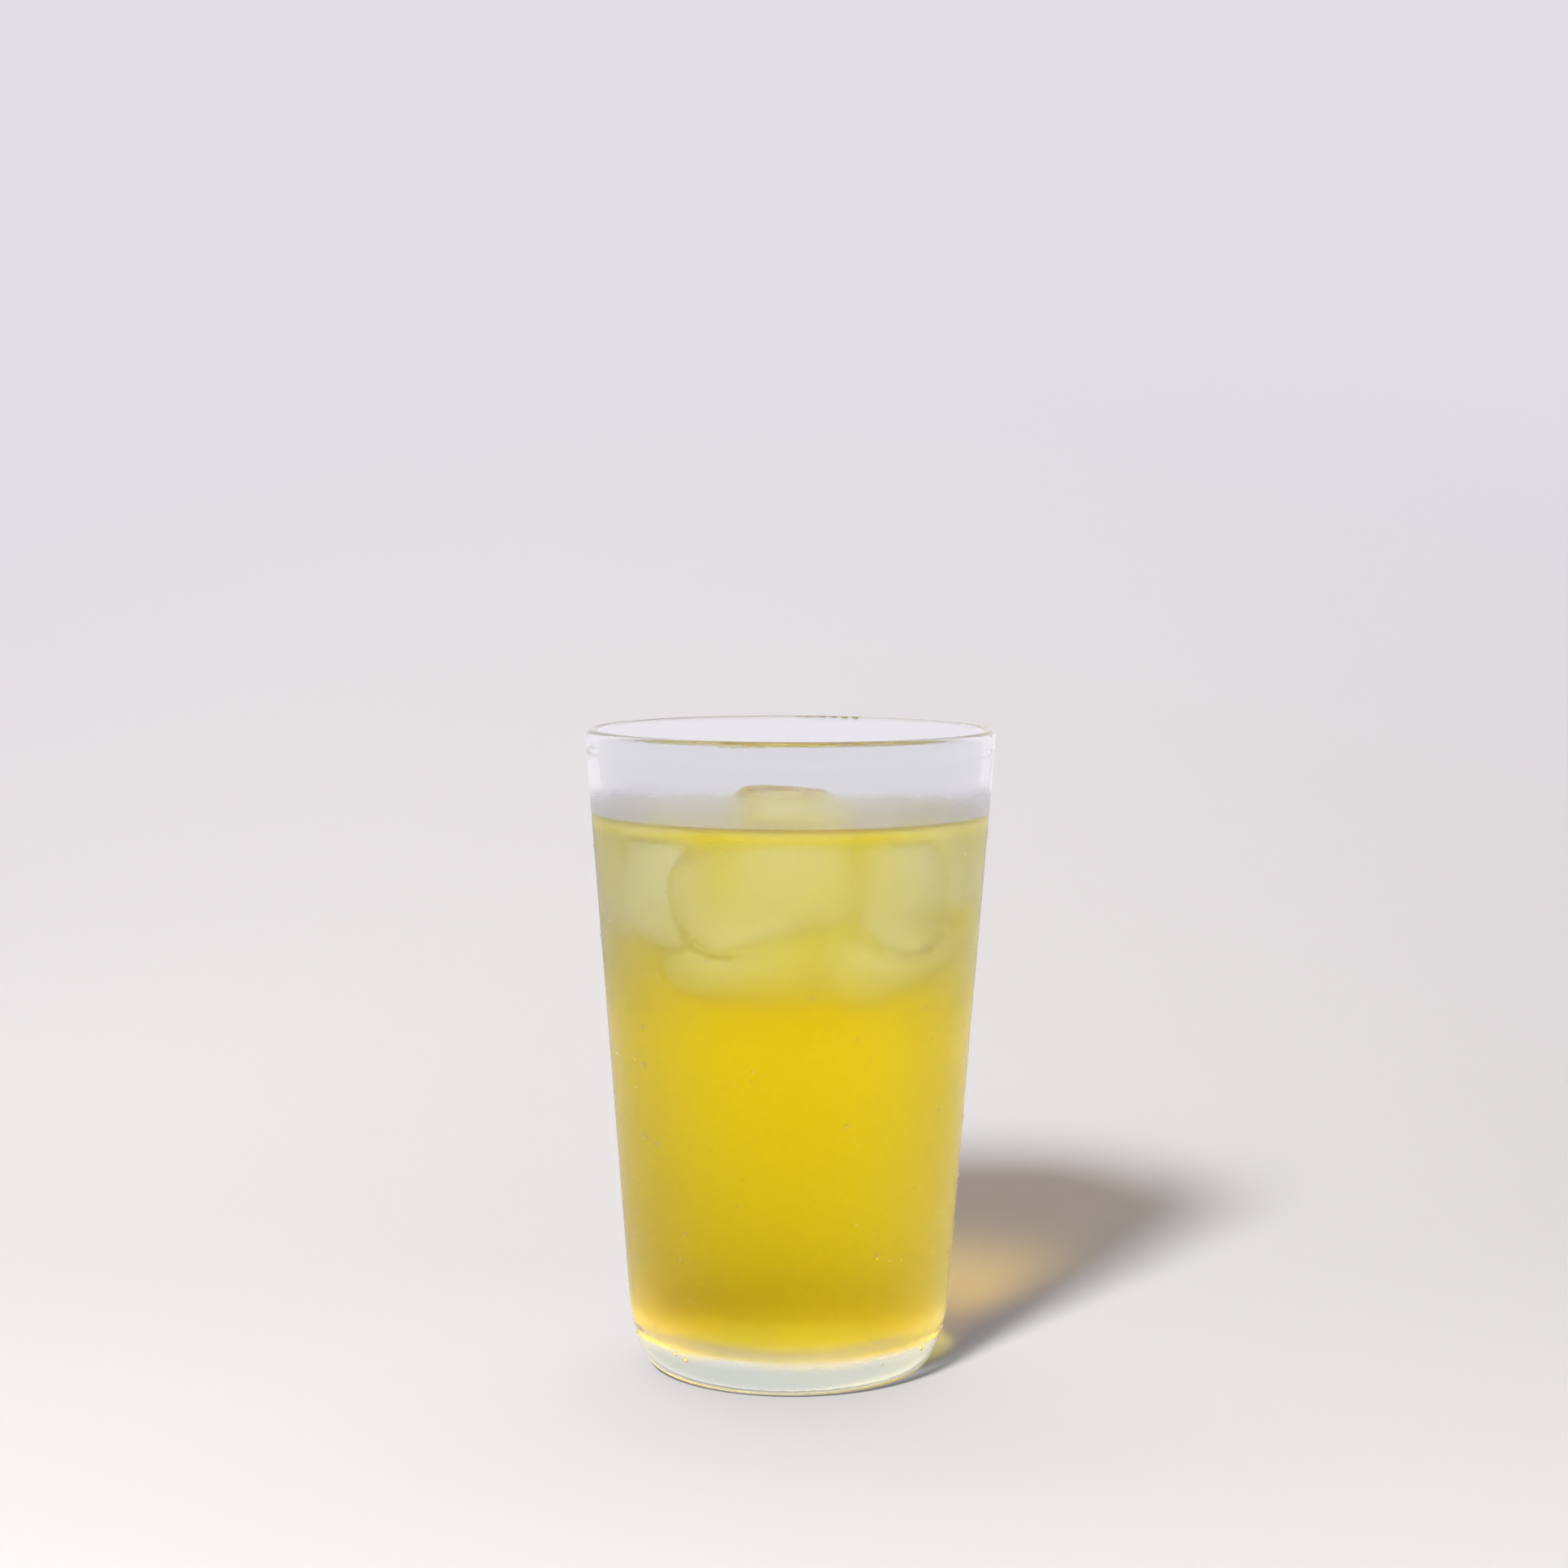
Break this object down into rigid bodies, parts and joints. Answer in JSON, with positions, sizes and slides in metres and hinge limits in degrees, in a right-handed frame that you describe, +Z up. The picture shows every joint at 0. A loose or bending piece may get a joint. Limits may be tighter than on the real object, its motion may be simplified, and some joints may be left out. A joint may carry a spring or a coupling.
{
  "type": "glass of iced green tea",
  "caption": "Clear conical tumbler with a thick base, filled with pale yellow iced green tea; ice floats at the top and breaks the surface under the open rim.",
  "frame": {"origin": "centre of the foot, on the surface the glass stands on", "axes": "+Z up along the glass's axis; +Y away from the side that is shown first, +X to its right"},
  "size_m": [0.0828, 0.0828, 0.13],
  "materials": {
    "glass": "clear fire-polished soda-lime glass, misted with condensation outside",
    "tea": "clear yellow liquid",
    "ice": "wet, melted smooth, slightly cloudy inside"
  },
  "bodies": {
    "root": {"glass": "glass", "tea": "tea", "ice_left": "ice", "ice_middle": "ice", "ice_right": "ice"}
  },
  "joints": []
}
